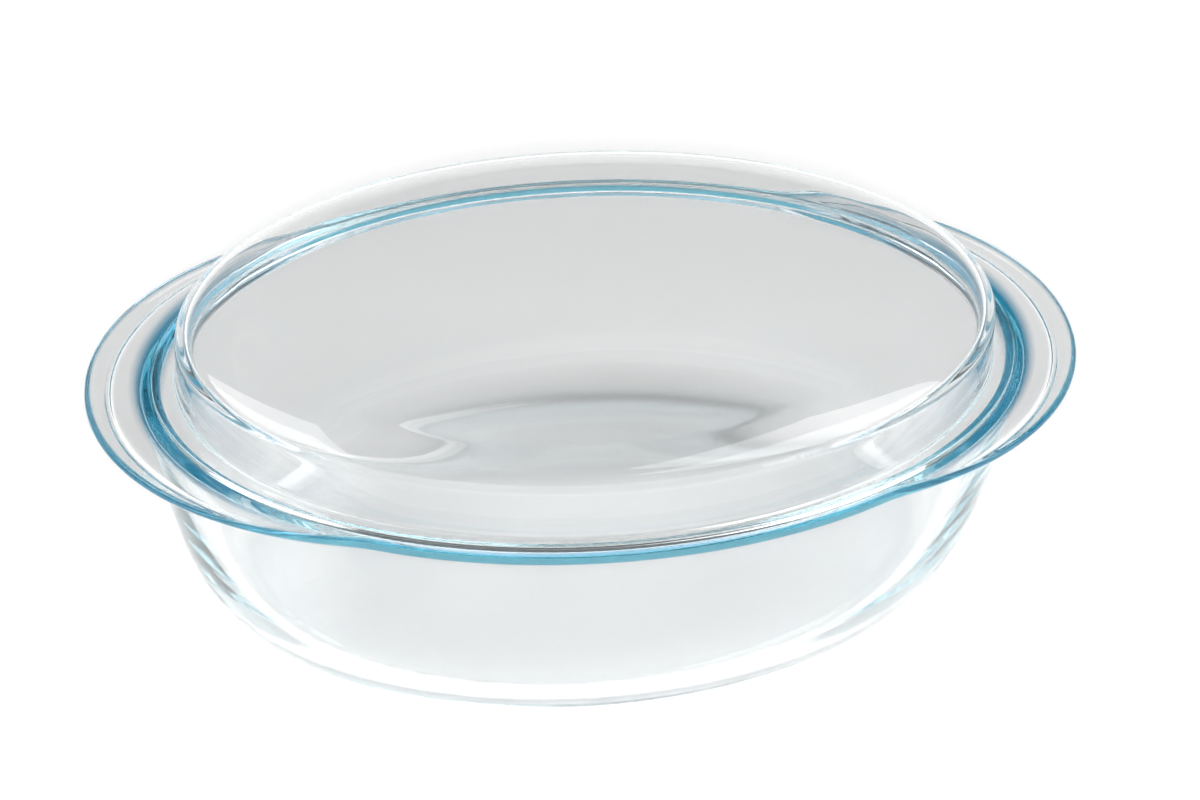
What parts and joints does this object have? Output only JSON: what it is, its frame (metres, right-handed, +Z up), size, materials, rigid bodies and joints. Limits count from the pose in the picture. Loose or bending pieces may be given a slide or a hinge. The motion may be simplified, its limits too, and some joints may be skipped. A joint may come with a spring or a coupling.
{
  "type": "covered oval casserole dish",
  "caption": "Oval clear glass oven dish with a crescent wing handle at each end and a loose domed glass lid that lifts straight off its ledge.",
  "frame": {"origin": "centre of the flat underside of the dish, on the surface it stands on", "axes": "+X along the length towards one wing handle, +Y across the width, +Z up; the front is -Y"},
  "size_m": [0.33, 0.2, 0.1168],
  "materials": {
    "dish_glass": "clear fire-polished pressed glass, blue-green in the edges",
    "lid_glass": "clear fire-polished pressed glass, blue-green in the edges"
  },
  "bodies": {
    "dish": {"dish": "dish_glass"},
    "lid": {"lid": "lid_glass"}
  },
  "joints": [
    {"name": "lid_lift", "type": "slide", "parent": "dish", "child": "lid", "axis": [0, 0, 1], "range_m": [0, 0.12]}
  ]
}
